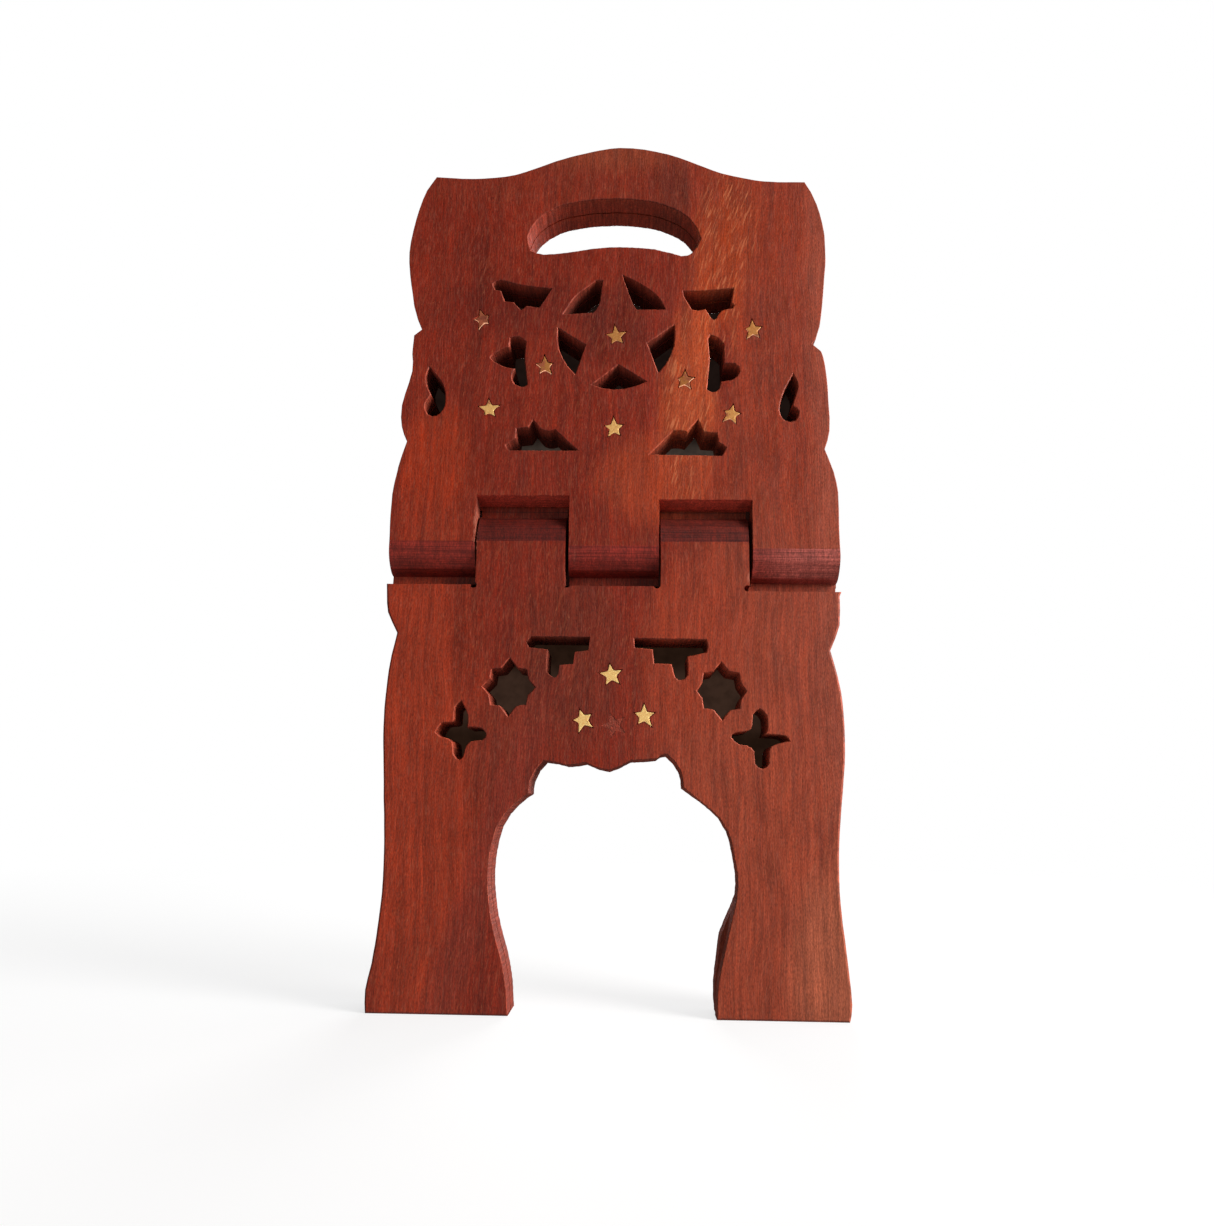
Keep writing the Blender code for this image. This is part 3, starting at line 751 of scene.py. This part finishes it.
def studio_world():
    """White behind the object, lit by a dim room, a glow from the right and a pale bounce from below."""
    world = bpy.data.worlds.new("studio")
    bpy.context.scene.world = world
    world.use_nodes = True
    tree = world.node_tree
    tree.nodes.clear()
    coordinates = tree.nodes.new("ShaderNodeTexCoord")
    toward = tree.nodes.new("ShaderNodeVectorMath")
    toward.operation = "DOT_PRODUCT"
    toward.inputs[1].default_value = Vector((0.85, 0.0, 0.5)).normalized()
    tree.links.new(coordinates.outputs["Generated"], toward.inputs[0])
    glow = tree.nodes.new("ShaderNodeMapRange")
    glow.interpolation_type = "SMOOTHSTEP"
    for key, value in {"From Min": 0.3, "From Max": 1.0, "To Min": ROOM_DIM, "To Max": ROOM_GLOW}.items():
        glow.inputs[key].default_value = value
    tree.links.new(toward.outputs["Value"], glow.inputs["Value"])
    down = tree.nodes.new("ShaderNodeVectorMath")
    down.operation = "DOT_PRODUCT"
    down.inputs[1].default_value = Vector((-0.1, -0.55, -0.8)).normalized()
    tree.links.new(coordinates.outputs["Generated"], down.inputs[0])
    bounce = tree.nodes.new("ShaderNodeMapRange")
    bounce.interpolation_type = "SMOOTHSTEP"
    for key, value in {"From Min": 0.1, "From Max": 1.0, "To Min": 0.0, "To Max": FLOOR_BOUNCE}.items():
        bounce.inputs[key].default_value = value
    tree.links.new(down.outputs["Value"], bounce.inputs["Value"])
    both = tree.nodes.new("ShaderNodeMath")
    both.operation = "ADD"
    tree.links.new(glow.outputs["Result"], both.inputs[0])
    tree.links.new(bounce.outputs["Result"], both.inputs[1])
    path = tree.nodes.new("ShaderNodeLightPath")
    strength = tree.nodes.new("ShaderNodeMix")
    tree.links.new(path.outputs["Is Camera Ray"], strength.inputs[0])
    tree.links.new(both.outputs[0], strength.inputs[2])
    strength.inputs[3].default_value = 1.0
    background = tree.nodes.new("ShaderNodeBackground")
    background.inputs["Color"].default_value = (1, 1, 1, 1)
    tree.links.new(strength.outputs[0], background.inputs["Strength"])
    output = tree.nodes.new("ShaderNodeOutputWorld")
    tree.links.new(background.outputs[0], output.inputs["Surface"])


def pale_floor():
    """A near-white sweep with a faint shadow, fading into the white behind."""
    mesh = bpy.data.meshes.new("floor")
    reach = 3.0
    corners = [(-reach, -reach, 0), (reach, -reach, 0), (reach, reach, 0), (-reach, reach, 0)]
    mesh.from_pydata(corners, [], [(0, 1, 2, 3)])
    floor = bpy.data.objects.new("floor", mesh)
    bpy.context.scene.collection.objects.link(floor)
    net = Net("floor")
    position = net.position()
    distance = net.node("VectorMath", {0: position}, operation="LENGTH").outputs["Value"]
    mottle = net.noise(position, 3.0, 2.0)
    paper = net.mix(mottle, (0.90, 0.90, 0.90), (0.93, 0.93, 0.93))
    matte = net.node("BsdfDiffuse", {"Color": paper}).outputs[0]
    lit = net.node("Emission", {"Color": (1.0, 1.0, 1.0), "Strength": 1.0}).outputs[0]
    share = net.ramp(distance, 0.15, 1.1, FLOOR_LIFT, 1.0)
    shader = net.node("MixShader", {0: share, 1: matte, 2: lit}).outputs[0]
    mesh.materials.append(net.finish(shader))
    floor.visible_diffuse = False
    floor.visible_glossy = False


def dark_card(name, outline, glow, middle, dark):
    """The dark card of painted shade behind the fretwork, standing in for a shaded surface behind the stand:
    it glows dark, lighter about its middle height, and is there only while the stand is folded, and only from
    the front.

    Light reaches the back of the plank through it, because rays that start just in front of it pass.
    It rides leaf_b, so it turns away, and so vanishes, as soon as the stand opens.
    """
    y = HALF_THICK + CARD_GAP
    mesh = bpy.data.meshes.new(name)
    mesh.from_pydata([(x * MM, y, z * MM) for x, z in outline], [], [tuple(range(len(outline)))])
    card = bpy.data.objects.new(name, mesh)
    bpy.context.scene.collection.objects.link(card)
    net = Net(name)
    geometry_in = net.node("NewGeometry")
    links = {0: geometry_in.outputs["Incoming"], 1: geometry_in.outputs["True Normal"]}
    facing = net.node("VectorMath", links, operation="DOT_PRODUCT").outputs["Value"]
    path = net.node("LightPath")
    least = net.math("MULTIPLY", path.outputs["Is Camera Ray"], 0.8)
    level = net.node("SeparateXYZ", {0: geometry_in.outputs["True Normal"]}).outputs[1]
    folded = net.math("GREATER_THAN", net.math("ABSOLUTE", level), 0.99)
    front = net.math("SUBTRACT", 1.0, geometry_in.outputs["Backfacing"])
    far = net.math("GREATER_THAN", path.outputs["Ray Length"], CARD_CLEARANCE)
    seen = net.math("MULTIPLY", net.math("GREATER_THAN", facing, least), folded)
    seen = net.math("MULTIPLY", seen, net.math("MULTIPLY", front, far))
    height = net.node("SeparateXYZ", {0: net.position()}).outputs[2]
    away = net.math("ABSOLUTE", net.math("SUBTRACT", height, middle * MM))
    # Painted shade: lighter about the middle height, darker away from it.
    card_shade = net.mix(net.ramp(away, 6 * MM, 16 * MM), glow, dark)
    card_mottle = net.ramp(net.noise(net.position(), 240.0, 3.0), 0.3, 0.7, 0.82, 1.18)
    card_glow = net.node("Emission", {"Color": card_shade, "Strength": card_mottle}).outputs[0]
    clear = net.node("BsdfTransparent").outputs[0]
    mesh.materials.append(net.finish(net.node("MixShader", {0: seen, 1: clear, 2: card_glow}).outputs[0]))
    card.parent = frame["bodies"]["leaf_b"]


def stage():
    studio_world()
    area_light("key", (0.90, -0.50, 0.55), (0, 0, 0.17), 0.55, KEY_POWER, (1.0, 0.98, 0.96))
    area_light("fill", (-0.5, -1.1, 0.7), (0, 0, 0.17), 0.9, FILL_POWER)
    area_light("back", (0.1, 1.2, 0.65), (0, 0, 0.17), 0.6, BACK_POWER)
    pale_floor()
    dark_card("card_upper", CARD_UPPER, srgb(60, 51, 45), 216, srgb(26, 17, 14))
    dark_card("card_lower", CARD_LOWER, srgb(52, 36, 28), 118, srgb(34, 21, 14))
    dark_card("card_hinge_upper", CARD_HINGE_UPPER, srgb(24, 10, 8), 178, srgb(24, 10, 8))
    dark_card("card_hinge_lower", CARD_HINGE_LOWER, srgb(24, 10, 8), 178, srgb(24, 10, 8))
    bpy.context.scene.view_settings.view_transform = "Standard"


def camera():
    data = bpy.data.cameras.new("camera")
    data.lens = 28.01
    data.clip_start = 0.01
    view = bpy.data.objects.new("camera", data)
    bpy.context.scene.collection.objects.link(view)
    view.location = (0.00863, -0.37547, 0.07275)
    view.rotation_euler = [math.radians(angle) for angle in (101.770, -0.762, 1.508)]
    bpy.context.scene.camera = view


woods = [
    wood("wood_planed", 0.46, "planed"),
    wood("wood_sawn", 0.7, "sawn"),
    wood("wood_rasped", 0.62, "rasped"),
    wood("wood_worn", 0.5, "worn"),
    glue(),
]
for leaf in ("leaf_a", "leaf_b"):
    carve_leaf(leaf, woods)
dress_stars()
stage()
camera()
